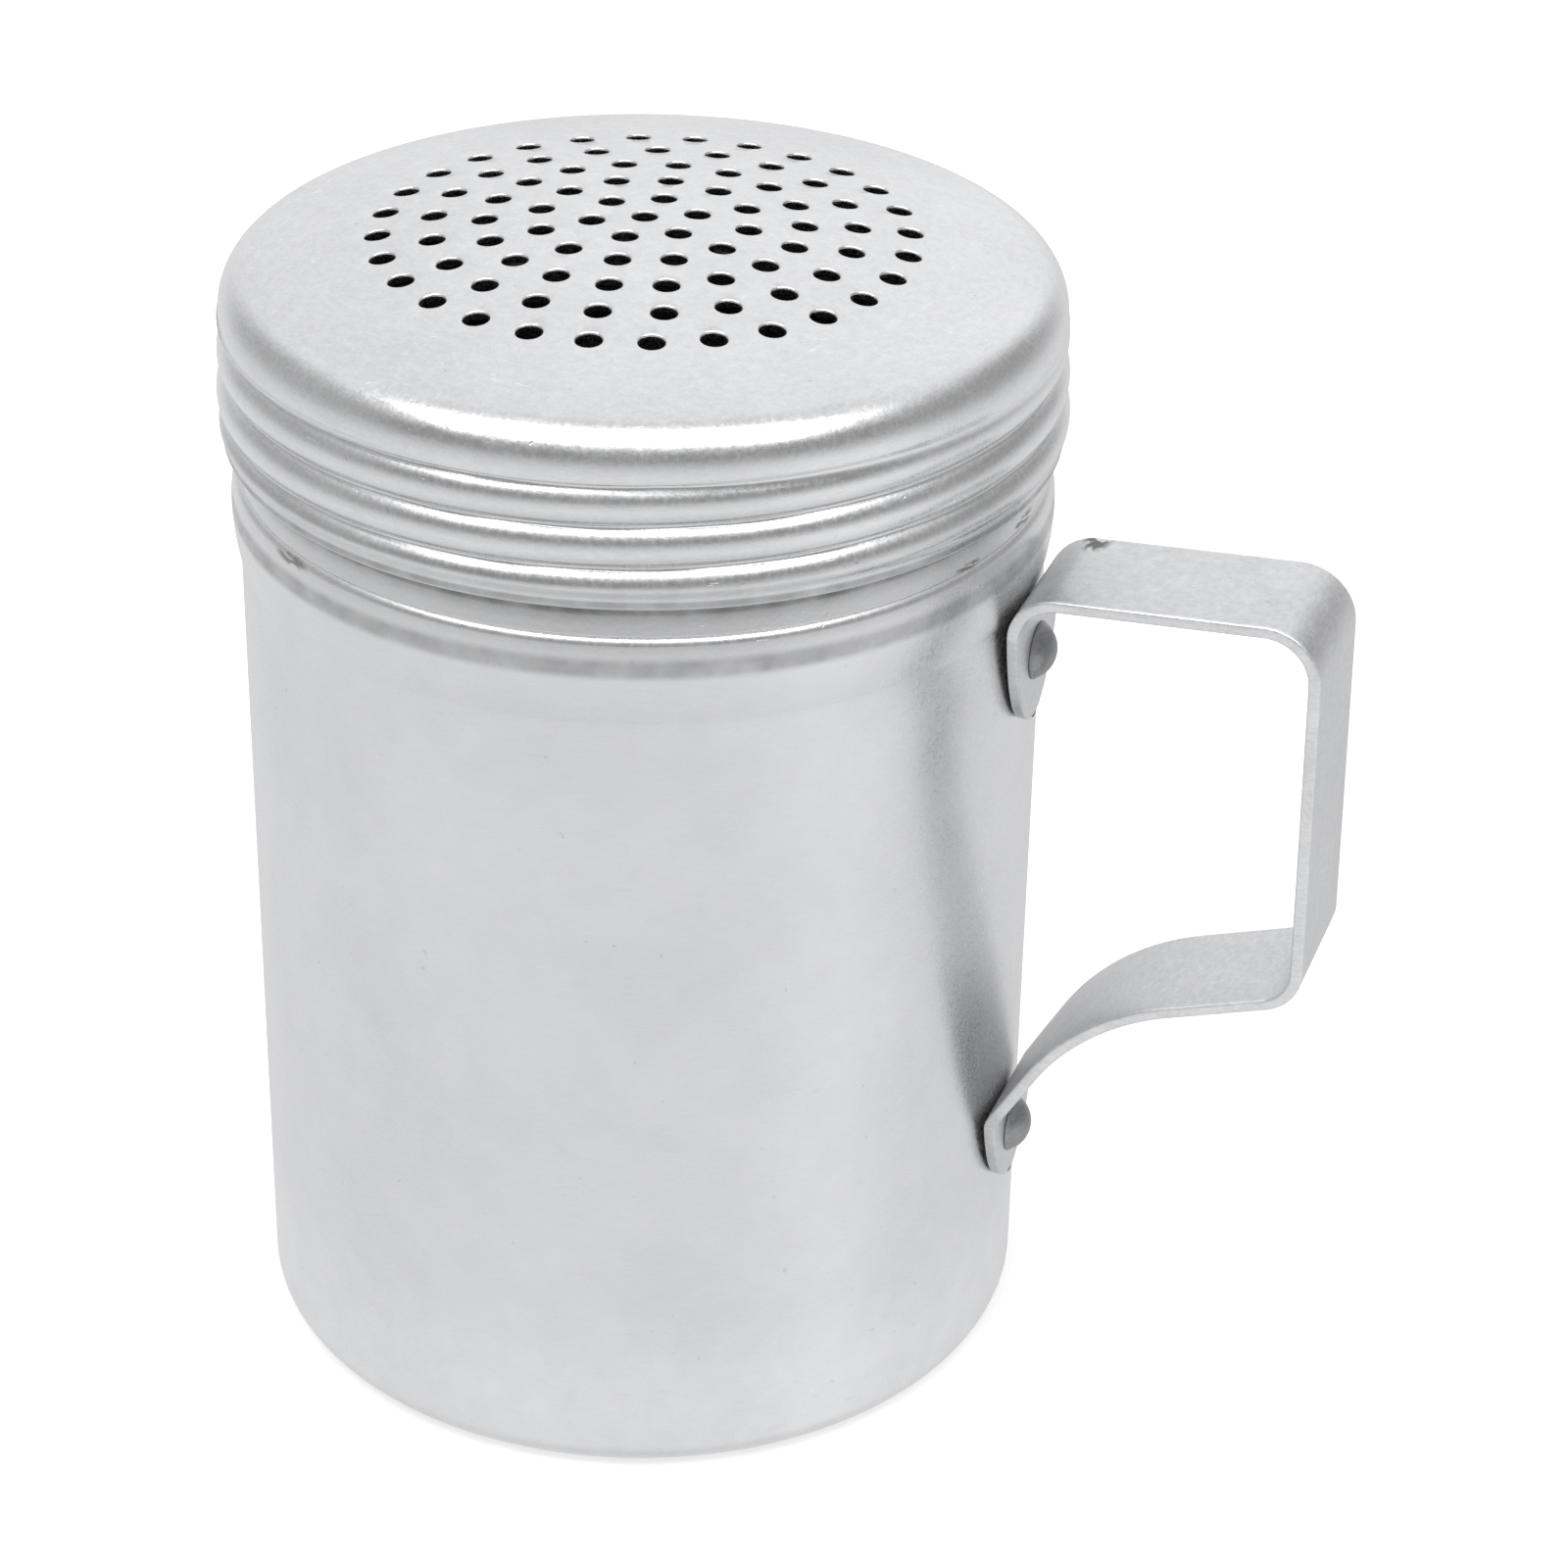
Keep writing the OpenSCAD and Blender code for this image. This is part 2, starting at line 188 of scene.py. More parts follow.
floor_corners = [(x * floor_reach, y * floor_reach, 0) for x, y in ((-1, -1), (1, -1), (1, 1), (-1, 1))]
floor_mesh = bpy.data.meshes.new("floor")
floor_mesh.from_pydata(floor_corners, [], [(0, 1, 2, 3)])
floor_mesh.materials.append(floor_material)
floor = bpy.data.objects.new("floor", floor_mesh)
bpy.context.scene.collection.objects.link(floor)
floor.visible_glossy = False

# The lamp hangs at this azimuth and height, and looks at the middle of the cup.
lamp_turn, lamp_height, lamp_away, lamp_aim_z = radians(-75), radians(73), 0.9, 0.05
lamp_wide, lamp_deep, lamp_power = 1.4, 0.62, 5.6

lamp_data = bpy.data.lights.new("front_lamp", "AREA")
lamp_data.shape, lamp_data.energy = "RECTANGLE", lamp_power
lamp_data.size, lamp_data.size_y = lamp_wide, lamp_deep
lamp = bpy.data.objects.new("front_lamp", lamp_data)
lamp_out = cos(lamp_height)
lamp_way = Vector((cos(lamp_turn) * lamp_out, sin(lamp_turn) * lamp_out, sin(lamp_height)))
lamp.location = lamp_way * lamp_away + Vector((0, 0, lamp_aim_z))
lamp.rotation_euler = lamp_way.to_track_quat("Z", "Y").to_euler()
bpy.context.scene.collection.objects.link(lamp)

# ---- Cup ----------------------------------------------------------------------------------
# One drawn aluminium cup: flat bottom, straight wall, a rolled shoulder bead and a neck
# with the screw thread rolled into the sheet, so it shows on both sides.

cup_r, cup_wall = 33.5, 0.9
base_rings, base_edge_r = (0, 8, 18, 26), 2.5
wall_low, wall_high = 6, 69
bead_r, bead_foot_z, bead_z = 34.1, 72.5, 77.3
shoulder_z, crown_r, crown_lean, crown_end = 80.3, 1.0, radians(14), radians(62)
neck_r, neck_wall, rim_z, neck_edge = 32.45, 0.8, 96.3, 1.2
neck_foot, neck_bend_r = 0.93, 0.6
neck_low, neck_high = 83.9, 94.3
neck_depth, neck_crest, neck_bulge = 0.65, 0.15, 0.7
neck_fade_in, neck_fade_out = (neck_low - 0.1, neck_low + 0.9), (neck_high - 1, neck_high)
pitch, crest_z = 3.4, 92.15
around = 288


def ease(x, a, b):
    t = min(1, max(0, (x - a) / (b - a)))
    return t * t * (3 - 2 * t)


def steps(a, b, n):
    return [a + (b - a) * i / n for i in range(n + 1)]


def arc(r, z, size, a, b, n):
    # Points on an arc about (r, z), from a to b degrees.
    return [(r + size * cos(radians(t)), z + size * sin(radians(t))) for t in steps(a, b, n)]


def ridge(angle, z, bulge):
    # 1 on the thread's crest and -1 in its groove, on a right-hand helix. The cut across is
    # an arc of a circle, a half one where bulge is 1, with a narrow groove between turns.
    turns = (z - crest_z) / pitch - angle / (2 * pi)
    off = 2 * abs(turns - round(turns))
    return 1 - 2 * (1 - sqrt(1 - (bulge * off) ** 2)) / (1 - sqrt(1 - bulge ** 2))


def finish_mesh(name, mesh):
    bmesh.ops.recalc_face_normals(mesh, faces=mesh.faces)
    for face in mesh.faces:
        face.smooth = True
    data = bpy.data.meshes.new(name)
    mesh.to_mesh(data)
    mesh.free()
    thing = bpy.data.objects.new(name, data)
    bpy.context.scene.collection.objects.link(thing)
    return thing


def join_rings(mesh, rings):
    # Faces between neighbouring rings of points. A ring of one point is a pole.
    for low, high in zip(rings, rings[1:]):
        sides = max(len(low), len(high))
        for j in range(sides):
            k = (j + 1) % sides
            corners = (low[j % len(low)], high[j % len(high)], high[k % len(high)], low[k % len(low)])
            mesh.faces.new(list(dict.fromkeys(corners)))


def lathe(name, rows, rolled_r):
    # Closed mesh of rings, in order from the middle of the outside to the middle of the
    # inside. A row is (radius, height, rolled), and rolled_r rolls the thread into the row.
    mesh = bmesh.new()
    rings = []
    for r, z, rolled in rows:
        ring = []
        for j in range(around if r else 1):
            angle = 2 * pi * j / around
            q = rolled_r(r, z, angle) if rolled else r
            ring.append(mesh.verts.new((q * cos(angle) * mm, q * sin(angle) * mm, z * mm)))
        rings.append(ring)
    join_rings(mesh, rings)
    return finish_mesh(name, mesh)


def smooth_rows(line):
    return [(r, z, False) for r, z in line]


def bead_side(inset):
    # A long arc out to the bead's widest line, one that leans in above it and a round crown.
    out, height = bead_r - cup_r, bead_z - bead_foot_z
    low_size = (out ** 2 + height ** 2) / (2 * out)
    high_size = (shoulder_z - crown_r - bead_z) / sin(crown_lean) + crown_r
    crown_x = bead_r - high_size + (high_size - crown_r) * cos(crown_lean)
    side = []
    for size, r, z, first, last in (
            (low_size, bead_r - low_size, bead_z, -asin(height / low_size), 0),
            (high_size, bead_r - high_size, bead_z, 0, crown_lean),
            (crown_r, crown_x, shoulder_z - crown_r, crown_lean, crown_end)):
        turns = steps(first, last, 12)[bool(side):]
        side += [(r + (size - inset) * cos(t), z + (size - inset) * sin(t)) for t in turns]
    return side


def neck_thread(r, z, angle):
    on = ease(z, *neck_fade_in) * (1 - ease(z, *neck_fade_out))
    if on == 0:
        return r
    return r + on * (neck_crest + neck_depth * (1 + ridge(angle, z, neck_bulge)) / 2)


def neck_line(z):
    # The neck flares a little from the thread down to the shoulder.
    return neck_r + neck_foot * max(0, neck_low - z) / (neck_low - shoulder_z)


cup_in_r, neck_in_r, rim_r = cup_r - cup_wall, neck_r - neck_wall, neck_wall / 2
base_x = cup_r - base_edge_r
foot_rows = steps(shoulder_z - 0.08, shoulder_z + 0.2, 3) + steps(shoulder_z + 0.6, neck_low - 0.3, 8)
neck_rows = steps(neck_low, rim_z - neck_edge, 46)
cup_rows = smooth_rows([(r, 0) for r in base_rings])
cup_rows += smooth_rows(arc(base_x, base_edge_r, base_edge_r, -90, 0, 12))
cup_rows += smooth_rows([(cup_r, z) for z in steps(wall_low, wall_high, 12)])
cup_rows += smooth_rows(bead_side(0))
cup_rows += [(neck_line(z), z, True) for z in foot_rows]
cup_rows += [(neck_r, z, True) for z in neck_rows]
cup_rows += smooth_rows(arc(neck_r - rim_r, rim_z - rim_r, rim_r, 0, 180, 10))
inside_from = len(cup_rows) - 1
cup_rows += [(neck_in_r, z, True) for z in reversed(neck_rows)]
cup_rows += smooth_rows(arc(neck_in_r + neck_bend_r, shoulder_z + 0.1, neck_bend_r, 180, 250, 4))
cup_rows += smooth_rows(reversed(bead_side(cup_wall)[:-1]))
cup_rows += smooth_rows([(cup_in_r, z) for z in steps(wall_high, wall_low, 12)])
cup_rows += smooth_rows(arc(base_x, base_edge_r, base_edge_r - cup_wall, 0, -90, 10))
cup_rows += smooth_rows([(r, cup_wall) for r in reversed(base_rings)])
cup = lathe("cup_shell", cup_rows, neck_thread)
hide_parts("cup")
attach(cup, "cup")


def new_group(name, inputs, outputs):
    # An empty shader node group with named sockets of the given kinds.
    group = bpy.data.node_groups.new(name, "ShaderNodeTree")
    for way, sockets in (("INPUT", inputs), ("OUTPUT", outputs)):
        for socket, kind in sockets.items():
            group.interface.new_socket(socket, in_out=way, socket_type="NodeSocket" + kind)
    return group


def shaded(tree, colour, share):
    scaled = add_node(tree, "ShaderNodeVectorMath", {0: colour, "Scale": share}, operation="SCALE")
    return scaled.outputs[0]


def worn_metal_group():
    # Worn satin metal: fine grain, cloudy tone, hair scratches and dark specks.
    floats = dict.fromkeys(("Roughness", "Grain", "Clouds", "Scratches", "Specks"), "Float")
    group = new_group("worn_metal", {"Tone": "Color", **floats},
                      {"Color": "Color", "Roughness": "Float", "Height": "Float"})
    given = add_node(group, "NodeGroupInput").outputs
    place = add_node(group, "ShaderNodeTexCoord").outputs["Object"]

    def noise(scale, detail, squeeze=(1, 1, 1)):
        drawn = add_node(group, "ShaderNodeMapping", {"Vector": place, "Scale": squeeze}).outputs[0]
        blots = {"Vector": drawn, "Scale": scale, "Detail": detail}
        return add_node(group, "ShaderNodeTexNoise", blots).outputs["Fac"]

    def math(operation, *values):
        return calculate(group, operation, *values)

    # Grain, clouds and brushing swing about 0; scratches and specks are 1 on a mark.
    grain = math("SUBTRACT", noise(2600, 3), 0.5)
    clouds = math("SUBTRACT", math("MULTIPLY_ADD", noise(330, 3), 0.6, noise(70, 4)), 0.8)
    brushed = math("SUBTRACT", noise(900, 3, (1, 1, 8)), 0.5)
    level_hairs = rise(group, noise(420, 2, (1, 1, 14)), 0.70, 0.74)
    hairs_along_y = rise(group, noise(310, 2, (16, 1.5, 3)), 0.69, 0.73)
    hairs_along_x = rise(group, noise(290, 2, (1.5, 14, 3)), 0.69, 0.73)
    normal = add_node(group, "ShaderNodeNewGeometry").outputs["Normal"]
    facing_up = add_node(group, "ShaderNodeSeparateXYZ", {0: normal}).outputs["Z"]
    either_way = math("MAXIMUM", hairs_along_y, hairs_along_x)
    on_top = math("MULTIPLY", either_way, rise(group, facing_up, 0.8, 0.95))
    worn_place = rise(group, noise(60, 2), 0.48, 0.62)
    scratches = math("MULTIPLY", math("MAXIMUM", level_hairs, on_top), worn_place)
    specks = rise(group, noise(900, 2), 0.74, 0.78)

    light = math("MULTIPLY_ADD", grain, given["Grain"], 1.0)
    light = math("MULTIPLY_ADD", brushed, given["Grain"], light)
    light = math("MULTIPLY_ADD", clouds, given["Clouds"], light)
    light = math("MULTIPLY_ADD", scratches, math("MULTIPLY", given["Scratches"], 0.12), light)
    light = math("SUBTRACT", light, math("MULTIPLY", specks, given["Specks"]))
    rough = math("MULTIPLY_ADD", clouds, 0.08, given["Roughness"])
    rough = math("MULTIPLY_ADD", grain, 0.25, rough)
    rough = math("MULTIPLY_ADD", scratches, -0.1, rough)
    relief = math("MULTIPLY_ADD", grain, 0.6, math("MULTIPLY", scratches, -0.5))
    relief = math("MULTIPLY_ADD", specks, -0.8, relief)
    surface = {"Color": shaded(group, given["Tone"], light), "Roughness": rough, "Height": relief}
    add_node(group, "NodeGroupOutput", surface)
    return group


def shade_and_wear_band_group():
    # A blotchy band between two distances along a direction: darker than the rest, or paler where Depth is
    # negative.
    # It paints shade and highlight as well as wear.
    floats = dict.fromkeys(("Low", "High", "Soft", "Depth"), "Float")
    group = new_group("shade_and_wear_band", {"Color": "Color", "Along": "Vector", **floats}, {"Color": "Color"})
    given = add_node(group, "NodeGroupInput").outputs
    place = add_node(group, "ShaderNodeTexCoord").outputs["Object"]
    dot = add_node(group, "ShaderNodeVectorMath", {0: place, 1: given["Along"]}, operation="DOT_PRODUCT")
    reach = dot.outputs["Value"]
    past_low = rise(group, calculate(group, "SUBTRACT", reach, given["Low"]), 0, given["Soft"])
    below_high = rise(group, calculate(group, "SUBTRACT", given["High"], reach), 0, given["Soft"])
    inside = calculate(group, "MULTIPLY", past_low, below_high)
    blots = add_node(group, "ShaderNodeTexNoise", {"Vector": place, "Scale": 420, "Detail": 5}).outputs["Fac"]
    patchy = calculate(group, "ADD", calculate(group, "MULTIPLY", blots, 1.4), 0.3)
    lost = calculate(group, "MULTIPLY", calculate(group, "MULTIPLY", inside, patchy), given["Depth"])
    kept = calculate(group, "SUBTRACT", 1.0, lost)
    add_node(group, "NodeGroupOutput", {"Color": shaded(group, given["Color"], kept)})
    return group


def dark_scuff_group():
    # A dark scuff: torn streaks inside an oval patch.
    sockets = {"Color": "Color", "Place": "Vector", "Reach": "Vector", "Depth": "Float"}
    group = new_group("dark_scuff", sockets, {"Color": "Color"})
    given = add_node(group, "NodeGroupInput").outputs
    place = add_node(group, "ShaderNodeTexCoord").outputs["Object"]
    off = add_node(group, "ShaderNodeVectorMath", {0: place, 1: given["Place"]}, operation="SUBTRACT")
    shares = {0: off.outputs[0], 1: given["Reach"]}
    scaled = add_node(group, "ShaderNodeVectorMath", shares, operation="DIVIDE").outputs[0]
    far = add_node(group, "ShaderNodeVectorMath", {0: scaled}, operation="LENGTH")
    streaks = add_node(group, "ShaderNodeTexNoise", {"Vector": scaled, "Scale": 1.6, "Detail": 4})
    patch = rise(group, far.outputs["Value"], 1.0, 0.45)
    torn = rise(group, streaks.outputs["Fac"], 0.44, 0.54)
    lost = calculate(group, "MULTIPLY", calculate(group, "MULTIPLY", patch, torn), given["Depth"])
    kept = calculate(group, "SUBTRACT", 1.0, lost)
    add_node(group, "NodeGroupOutput", {"Color": shaded(group, given["Color"], kept)})
    return group


worn_metal, shade_and_wear_band, dark_scuff = worn_metal_group(), shade_and_wear_band_group(), dark_scuff_group()
bump_height = 0.04 * mm


def metal(name, wear, bump, bands=(), scuffs=(), along=(0, 0, 1)):
    # wear: the worn metal's inputs; bands: (low, high, soft edge, depth) along one direction;
    # scuffs: (place, reach, depth). Bands and scuffs are in mm.
    material = new_material(name)
    tree = material.node_tree
    worn = add_node(tree, "ShaderNodeGroup", wear, node_tree=worn_metal).outputs
    colour = worn["Color"]
    for low, high, soft, depth in bands:
        band = {"Color": colour, "Along": along, "Low": low * mm, "High": high * mm, "Soft": soft * mm,
                "Depth": depth}
        colour = add_node(tree, "ShaderNodeGroup", band, node_tree=shade_and_wear_band).outputs["Color"]
    for place, reach, depth in scuffs:
        scuff = {"Color": colour, "Place": Vector(place) * mm, "Reach": Vector(reach) * mm, "Depth": depth}
        colour = add_node(tree, "ShaderNodeGroup", scuff, node_tree=dark_scuff).outputs["Color"]
    relief = add_node(tree, "ShaderNodeBump",
                      {"Strength": bump, "Distance": bump_height, "Height": worn["Height"]})
    shader = add_node(tree, "ShaderNodeBsdfPrincipled",
                      {"Base Color": colour, "Metallic": 1.0, "Roughness": worn["Roughness"],
                       "Normal": relief.outputs[0]})
    add_node(tree, "ShaderNodeOutputMaterial", {"Surface": shader.outputs[0]})
    return material


def around_cup(turn, r, z):
    return r * cos(radians(turn)), r * sin(radians(turn)), z


# A darker blotchy ring lies along the bead's widest line. The neck is painted with shade that falls under the
# lid, darkest next to the lid's edge, with a narrow painted shadow line just under it, and the wall is a
# little paler low down. Three dark scuffs lie on the shoulder.
cup_bands = ((76.6, 78.9, 0.8, 0.34), (80.6, 85.6, 2.4, 0.6), (81.7, 85.6, 0.3, 0.3), (-12, 18, 12, -0.07))
shoulder_scuffs = ((around_cup(-124, 33.7, 79.6), (2.6, 3.4, 0.55), 0.55),
                   (around_cup(-3, 33.2, 80.6), (0.9, 3.0, 0.5), 0.6),
                   (around_cup(-19, 33.4, 80.4), (1.2, 2.2, 0.4), 0.6))
cup_satin = metal("cup_satin", {"Tone": (0.84, 0.845, 0.85, 1), "Roughness": 0.30, "Grain": 0.08,
                                "Clouds": 0.16, "Scratches": 1.0, "Specks": 0.12},
                  bump=0.5, bands=cup_bands, scuffs=shoulder_scuffs)
# The inside is the same aluminium with its tone painted down to about half, as painted shade, and made
# rougher.
cup_inside_shaded = metal("cup_inside_shaded", {"Tone": (0.40, 0.405, 0.41, 1), "Roughness": 0.55, "Grain": 0.2,
                                  "Clouds": 0.3, "Scratches": 0.5, "Specks": 0.2}, bump=0.5)
cup.data.materials.append(cup_satin)
cup.data.materials.append(cup_inside_shaded)
for face in cup.data.polygons:
    face.material_index = int(face.index // around >= inside_from)

# ---- Handle -------------------------------------------------------------------------------
# One strap of half-inch aluminium, sheared to length with round ends and bent cold. It
# lies flat against the cup at both tabs.

strap_w, strap_t, strap_gap, strap_edge = 12.6, 1.0, 0.05, 0.22
strap_x = cup_r + strap_gap + strap_t / 2
upper_rivet_z, lower_rivet_z, head_r = 68.25, 21.5, 2.45
upper_tab, lower_tab, tab_bend, tab_free = 6.2, 5.0, 2.0, 0.1
tab_taper, tab_reach = 14.0, 9
strap_cuts, cut_gap = 340, 0.3
upper_tip, lower_tip = upper_rivet_z - upper_tab, lower_rivet_z - lower_tab
grip_x, grip_low_x, grip_low_z = 58.8, 59.6, 43.5
grip_bend, grip_low_bend, sweep_bend = 4.2, 3.5, 21

# The upper arm bends away from just below the bead's foot and climbs a little to the grip.
arm_foot, arm_climb, arm_bend_drop = 2.95, 1.5, 0.6
arm_z = bead_foot_z + arm_foot
arm_turn = pi / 2 - atan(arm_climb / (grip_x - strap_x))
arm_bend = (arm_foot + arm_bend_drop) / tan(arm_turn / 2)

# The lower arm leaves its tab at a lean and sweeps over into a flatter slope to the grip.
lower_lean, sweep_slope = radians(30), 8.875 / 26.6
lower_tab_z = lower_rivet_z + head_r + tab_free + tab_bend * tan(lower_lean / 2)
lean_climb = grip_low_z - lower_tab_z - sweep_slope * (grip_low_x - strap_x)
lower_run = lean_climb / (1 / tan(lower_lean) - sweep_slope)
bends = [
    ((strap_x, upper_tip), 0),
    ((strap_x, arm_z), arm_bend),
    ((grip_x, arm_z + arm_climb), grip_bend),
    ((grip_low_x, grip_low_z), grip_low_bend),
    ((strap_x + lower_run, lower_tab_z + lower_run / tan(lower_lean)), sweep_bend),
    ((strap_x, lower_tab_z), tab_bend),
    ((strap_x, lower_tip), 0),
]


def strap_line(bends):
    # The strap's middle line as straight runs and arcs, each as (length before it, start,
    # direction, bend, length). Bend is signed, 1 / radius, and 0 on a straight run.
    marks, travelled = [], 0.0
    corners = [Vector(p) for p, _ in bends]
    here = corners[0]
    for i in range(1, len(corners)):
        ahead = (corners[i] - corners[i - 1]).normalized()
        if i == len(corners) - 1:
            marks.append((travelled, here.copy(), ahead, 0, (corners[i] - here).length))
            break
        after = (corners[i + 1] - corners[i]).normalized()
        turn = ahead.angle_signed(after)
        size = bends[i][1]
        trim = size * tan(abs(turn) / 2)
        start = corners[i] - ahead * trim
        run = (start - here).length
        marks.append((travelled, here.copy(), ahead, 0, run))
        travelled += run
        marks.append((travelled, start, ahead, -turn / (size * abs(turn)), size * abs(turn)))
        travelled += size * abs(turn)
        here = corners[i] + after * trim
    return marks


line = strap_line(bends)
before_last, *_, last_run = line[-1]
strap_length = before_last + last_run


def on_line(s):
    # Point and direction at length s.
    start, point, way, bend, _ = next(m for m in reversed(line) if m[0] <= s or m is line[0])
    d = s - start
    if bend == 0:
        return point + way * d, way
    turn = bend * d
    side = Vector((-way.y, way.x))
    return (point + way * (sin(turn) / bend) + side * ((1 - cos(turn)) / bend),
            way * cos(turn) + side * sin(turn))


def half_width(s):
    # Half the strap, and less where a tab's end is rounded off. The taper ends tab_taper above
    # the tip, and further out from the cup than tab_reach the strap is always full width.
    spot = on_line(s)[0]
    past = spot.y - (upper_tip if s < strap_length / 2 else lower_tip)
    if past >= tab_taper or spot.x > strap_x + tab_reach:
        return strap_w / 2
    return strap_w / 2 * sqrt(1 - (1 - past / tab_taper) ** 2)


def strap():
    # Cut flat, with its edges broken, then bent along the middle line. The cuts across lie
    # closest together at the round ends.
    mesh = bmesh.new()
    ends = [tab_taper * (1 - cos(radians(a))) for a in range(4, 40, 4)]
    cuts = ends + steps(ends[-1] + cut_gap, strap_length - ends[-1] - cut_gap, strap_cuts)
    cuts += [strap_length - e for e in reversed(ends)]
    layers = []
    for n in (-strap_t / 2, strap_t / 2):
        rows = [[mesh.verts.new((s, t * half_width(s), n)) for t in (-1, -0.5, 0, 0.5, 1)] for s in cuts]
        layers.append((mesh.verts.new((0, 0, n)), rows, mesh.verts.new((strap_length, 0, n))))
    for (first, rows, last), flip in zip(layers, (True, False)):
        faces = []
        for a, b in zip(rows, rows[1:]):
            faces += [(a[k], b[k], b[k + 1], a[k + 1]) for k in range(4)]
        faces += [(first, rows[0][k], rows[0][k + 1]) for k in range(4)]
        faces += [(last, rows[-1][k + 1], rows[-1][k]) for k in range(4)]
        for face in faces:
            mesh.faces.new(reversed(face) if flip else face)
    loops = []
    for first, rows, last in layers:
        loops.append([first] + [r[0] for r in rows] + [last] + [r[-1] for r in reversed(rows)])
    for i in range(len(loops[0])):
        j = (i + 1) % len(loops[0])
        mesh.faces.new((loops[0][i], loops[0][j], loops[1][j], loops[1][i]))
    bmesh.ops.recalc_face_normals(mesh, faces=mesh.faces)
    rim = [e for e in mesh.edges if len(e.link_faces) == 2 and e.calc_face_angle() > radians(60)]
    bmesh.ops.bevel(mesh, geom=rim, offset=strap_edge, segments=4, profile=0.5, affect="EDGES")
    for v in mesh.verts:
        point, way = on_line(min(max(v.co.x, 0), strap_length))
        point = point + Vector((-way.y, way.x)) * v.co.z
        v.co = Vector((point.x, v.co.y, point.y)) * mm
    return finish_mesh("strap_handle", mesh)


handle = strap()
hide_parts("handle")
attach(handle, "cup")

# Both edges are painted paler, a painted highlight along the edges that stands partly for rubbed bright
# metal, and one dark scuff lies near an edge of the upper arm.
strap_bands = ((-7, -5.95, 0.1, -0.16), (5.95, 7, 0.1, -0.16))
arm_scuffs = (((37.6, 5.6, 76.2), (1.5, 2.6, 2.0), 0.75),)
strap_mill = metal("strap_mill", {"Tone": (0.77, 0.775, 0.78, 1), "Roughness": 0.42, "Grain": 0.30,
                                  "Clouds": 0.18, "Scratches": 1.0, "Specks": 0.25},
                   bump=0.8, bands=strap_bands, scuffs=arm_scuffs, along=(0, 1, 0))
handle.data.materials.append(strap_mill)

# ---- Rivets -------------------------------------------------------------------------------
# Two aluminium rivets, driven from outside, with a domed head on the strap and a closed
# head pressed flat inside the cup.

head_h, head_rim, shank_r = 1.6, 0.12, 1.6
tail_r, tail_h, tail_slope, tail_edge = 2.5, 1.2, 0.1, 0.3
rivet_gap, rivet_sides = 0.03, 48
head_x = strap_x + strap_t / 2 + rivet_gap
tail_x = cup_r - cup_wall - rivet_gap
rivet_grey = metal("rivet_grey", {"Tone": (0.38, 0.385, 0.39, 1), "Roughness": 0.42, "Grain": 0.45,
                                  "Clouds": 0.25, "Scratches": 0.6, "Specks": 0.4}, bump=0.9)


def circle(r, sides):
    # Points of a circle about the middle, or the middle alone where r is 0.
    turns = [2 * pi * j / sides for j in range(sides if r else 1)]
    return [(r * cos(turn), r * sin(turn)) for turn in turns]


def rivet(name, height, node):
    ball = (head_r ** 2 + head_h ** 2) / (2 * head_h)
    edge = asin(head_r / ball)
    tail_end = tail_x - tail_h
    profile = [(0, head_x + head_h)]
    for t in steps(0.08, 0.95, 12):
        profile.append((ball * sin(edge * t), head_x + head_h - ball + ball * cos(edge * t)))
    profile += [(head_r, head_x + head_rim), (head_r, head_x), (shank_r, head_x), (shank_r, tail_x)]
    profile += [(tail_r, tail_x - tail_slope), (tail_r, tail_end + tail_edge), (tail_r - tail_edge, tail_end)]
    profile += [(0, tail_end)]
    mesh = bmesh.new()
    join_rings(mesh, [[mesh.verts.new((x * mm, y * mm, (height + z) * mm)) for y, z in circle(r, rivet_sides)]
                      for r, x in profile])
    thing = finish_mesh(name, mesh)
    thing.data.materials.append(rivet_grey)
    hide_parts(node)
    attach(thing, "cup")


rivet("upper_rivet_head", upper_rivet_z, "upper_rivet")
rivet("lower_rivet_head", lower_rivet_z, "lower_rivet")

# ---- Lid ----------------------------------------------------------------------------------
# One pressed aluminium lid: a shallow dome punched with rings of sprinkle holes, a rounded
# corner and a skirt with the screw thread rolled into it. Its lower edge curls in.

lid_wall, lid_low, edge_round = 0.7, 83.0, 0.35
dome_r, corner_r, corner_out, corner_z = 150.0, 3.6, 0.4, 94.06
skirt_r, skirt_flare, skirt_depth, skirt_bulge = 34.05, 0.5, 1.0, 0.86
skirt_low, skirt_high = lid_low + 0.7, corner_z - 0.5
curl_r, curl_round, curl_step = 33.6, 0.1, 0.08
skirt_fade_in, skirt_fade_out = (skirt_low + 0.1, skirt_low + 1.3), (skirt_high - 0.45, skirt_high + 0.1)
corner_fade = (skirt_high - 0.8, skirt_high)
corner_x = skirt_r + corner_out - corner_r
dome_z = corner_z - sqrt((dome_r - corner_r) ** 2 - corner_x ** 2)
dome_end = asin(corner_x / (dome_r - corner_r))
corner_from, corner_to = 90 - degrees(dome_end) - 4, -8


def skirt_thread(r, z, angle):
    on = ease(z, *skirt_fade_in) * (1 - ease(z, *skirt_fade_out))
    return r + on * skirt_depth / 2 * ridge(angle, z, skirt_bulge)


def skirt_line(z, inner):
    # The skirt widens towards its lower edge, and again where it meets the corner.
    low_share = min(1, max(0, (skirt_high - z) / (skirt_high - skirt_low)))
    return skirt_r - lid_wall * inner + skirt_flare * low_share + corner_out * ease(z, *corner_fade)


def dome_line(size, shares):
    return [(size * sin(dome_end * t), dome_z + size * cos(dome_end * t)) for t in shares]


